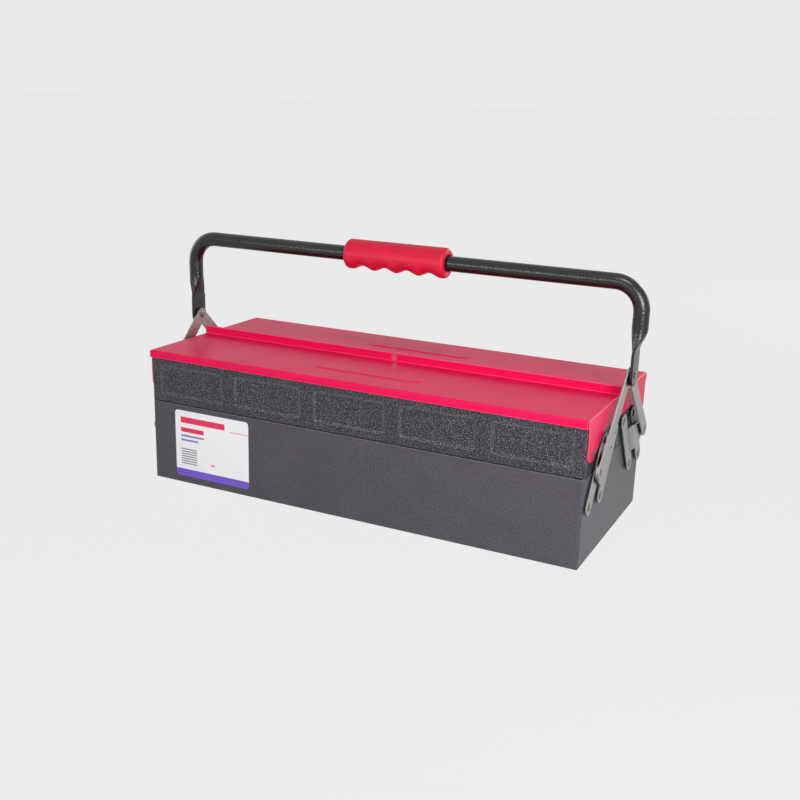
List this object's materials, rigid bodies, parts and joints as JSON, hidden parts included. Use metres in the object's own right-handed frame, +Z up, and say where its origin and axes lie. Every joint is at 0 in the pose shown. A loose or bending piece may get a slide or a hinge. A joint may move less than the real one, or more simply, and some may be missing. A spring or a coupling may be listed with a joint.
{
  "type": "cantilever tool box",
  "caption": "Sheet-steel cantilever tool box with a deep base, two lidded upper trays on strap linkages and a swinging tubular handle with a finger grip.",
  "frame": {"origin": "centre of the base's underside", "axes": "+X along the box, +Y from front to back, +Z up"},
  "size_m": [0.544, 0.2086, 0.277],
  "materials": {
    "base_paint": "satin charcoal black paint on sheet steel",
    "tray_paint": "wrinkle-textured charcoal black paint on sheet steel",
    "lid_paint": "semi-gloss crimson paint on sheet steel",
    "handle_paint": "hammer-textured black paint on steel tube",
    "grip_vinyl": "soft matt red vinyl",
    "zinc_steel": "satin zinc plate",
    "rivet_steel": "bright zinc plate"
  },
  "bodies": {
    "base": {"base_tray": "base_paint", "base_spacers": "zinc_steel", "base_rivets": "rivet_steel"},
    "rear_cranks": {"rear_crank_left": "zinc_steel", "rear_crank_right": "zinc_steel", "rear_arm_rivets": "rivet_steel", "rear_arm_spacers": "zinc_steel"},
    "front_cranks": {"front_crank_left": "zinc_steel", "front_crank_right": "zinc_steel", "front_arm_rivets": "rivet_steel"},
    "rear_outer_links": {"rear_outer_link_left": "zinc_steel", "rear_outer_link_right": "zinc_steel"},
    "front_outer_links": {"front_outer_link_left": "zinc_steel", "front_outer_link_right": "zinc_steel"},
    "rear_tray_box": {"rear_tray": "tray_paint", "rear_tray_spacers": "zinc_steel", "rear_tray_rivets": "rivet_steel", "rear_lid_rivets": "rivet_steel"},
    "front_tray_box": {"front_tray": "tray_paint", "front_tray_spacers": "zinc_steel", "front_tray_rivets": "rivet_steel", "front_lid_rivets": "rivet_steel"},
    "rear_lid_panel": {"rear_lid": "lid_paint"},
    "front_lid_panel": {"front_lid": "lid_paint"},
    "rear_arms": {"rear_arm_left": "zinc_steel", "rear_arm_right": "zinc_steel", "handle_rivets": "rivet_steel"},
    "front_arms": {"front_arm_left": "zinc_steel", "front_arm_right": "zinc_steel", "front_arm_top_rivets": "rivet_steel"},
    "handle": {"handle_tube": "handle_paint", "handle_grip": "grip_vinyl"}
  },
  "joints": [
    {"name": "fold", "type": "hinge", "parent": "base", "child": "rear_cranks", "pos_m": [0, 0.054, 0.06101], "axis": [-1, 0, 0], "range_deg": [0, 67]},
    {"name": "front_crank_turn", "type": "hinge", "parent": "base", "child": "front_cranks", "pos_m": [0, -0.054, 0.06101], "axis": [1, 0, 0], "range_deg": [0, 67]},
    {"name": "rear_link_turn", "type": "hinge", "parent": "base", "child": "rear_outer_links", "pos_m": [0, 0.091, 0.06101], "axis": [-1, 0, 0], "range_deg": [0, 67]},
    {"name": "front_link_turn", "type": "hinge", "parent": "base", "child": "front_outer_links", "pos_m": [0, -0.091, 0.06101], "axis": [1, 0, 0], "range_deg": [0, 67]},
    {"name": "rear_tray_level", "type": "hinge", "parent": "rear_cranks", "child": "rear_tray_box", "pos_m": [0, 0.01595, 0.117], "axis": [-1, 0, 0], "range_deg": [-67, 0]},
    {"name": "front_tray_level", "type": "hinge", "parent": "front_cranks", "child": "front_tray_box", "pos_m": [0, -0.01595, 0.117], "axis": [1, 0, 0], "range_deg": [-67, 0]},
    {"name": "rear_lid_hinge", "type": "hinge", "parent": "rear_tray_box", "child": "rear_lid_panel", "pos_m": [0, 0.086, 0.1133], "axis": [-1, 0, 0], "range_deg": [0, 100]},
    {"name": "front_lid_hinge", "type": "hinge", "parent": "front_tray_box", "child": "front_lid_panel", "pos_m": [0, -0.086, 0.1133], "axis": [1, 0, 0], "range_deg": [0, 100]},
    {"name": "rear_arm_turn", "type": "hinge", "parent": "rear_cranks", "child": "rear_arms", "pos_m": [0, 0.07898, 0.09346], "axis": [-1, 0, 0], "range_deg": [-80, 0]},
    {"name": "front_arm_turn", "type": "hinge", "parent": "front_cranks", "child": "front_arms", "pos_m": [0, -0.07898, 0.09346], "axis": [1, 0, 0], "range_deg": [-80, 0]},
    {"name": "handle_swing", "type": "hinge", "parent": "rear_arms", "child": "handle", "pos_m": [0, 0, 0.1705], "axis": [1, 0, 0], "range_deg": [-40, 27]}
  ],
  "couplings": [
    {"joint": "front_crank_turn", "follows": "fold", "ratio": 1},
    {"joint": "rear_link_turn", "follows": "fold", "ratio": 1},
    {"joint": "front_link_turn", "follows": "fold", "ratio": 1},
    {"joint": "rear_tray_level", "follows": "fold", "ratio": -1},
    {"joint": "front_tray_level", "follows": "fold", "ratio": -1},
    {"joint": "rear_arm_turn", "follows": "fold", "ratio": -1.1844},
    {"joint": "front_arm_turn", "follows": "fold", "ratio": -1.1844}
  ]
}
